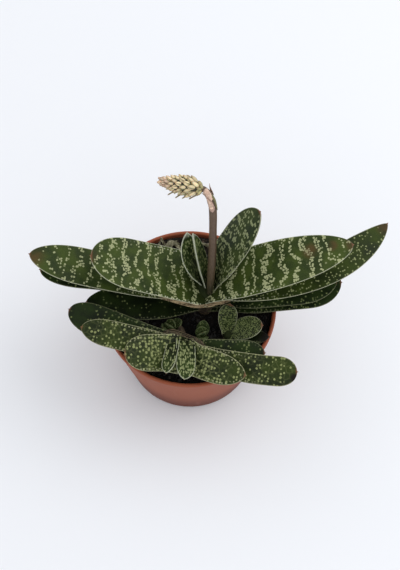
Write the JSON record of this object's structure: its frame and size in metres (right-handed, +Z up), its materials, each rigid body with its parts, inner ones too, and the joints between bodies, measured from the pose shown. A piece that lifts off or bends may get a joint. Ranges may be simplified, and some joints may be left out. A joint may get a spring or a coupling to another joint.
{
  "type": "potted gasteria",
  "caption": "Ox-tongue succulent with fans of thick pale-spotted strap leaves, small offsets and a nodding flower spike in bud, in a shallow round plastic pot.",
  "frame": {"origin": "centre of the pot's underside, on the surface that it stands on", "axes": "+Z up, +X to the viewer's right along the fan of leaves, -Y towards the viewer"},
  "size_m": [0.2432, 0.1274, 0.1935],
  "materials": {
    "pot_plastic": "brick-red moulded plastic, faintly satin",
    "soil": null,
    "leaf_green": null,
    "stem_brown": "dry tan leaf sheaths round a short stem",
    "stalk_brown": "smooth purplish brown flower stalk with papery bracts",
    "bud_cream": "cream and olive flower buds"
  },
  "bodies": {
    "root": {"crown_front": "stem_brown", "crown_main": "stem_brown", "crown_side": "stem_brown", "flower_buds": "bud_cream", "flower_stalk": "stalk_brown", "front_leaf_left_1": "leaf_green", "front_leaf_left_2": "leaf_green", "front_leaf_left_3": "leaf_green", "front_leaf_right_1": "leaf_green", "front_leaf_right_2": "leaf_green", "front_leaf_right_3": "leaf_green", "front_leaf_young_1": "leaf_green", "front_leaf_young_2": "leaf_green", "leaf_left_1": "leaf_green", "leaf_left_2": "leaf_green", "leaf_left_3": "leaf_green", "leaf_left_4": "leaf_green", "leaf_right_1": "leaf_green", "leaf_right_2": "leaf_green", "leaf_right_3": "leaf_green", "leaf_right_4": "leaf_green", "leaf_upright": "leaf_green", "leaf_young_inner": "leaf_green", "leaf_young_outer": "leaf_green", "offset_back": "leaf_green", "offset_middle": "leaf_green", "pot": "pot_plastic", "side_leaf_1": "leaf_green", "side_leaf_2": "leaf_green", "side_leaf_3": "leaf_green", "soil": "soil"}
  },
  "joints": []
}
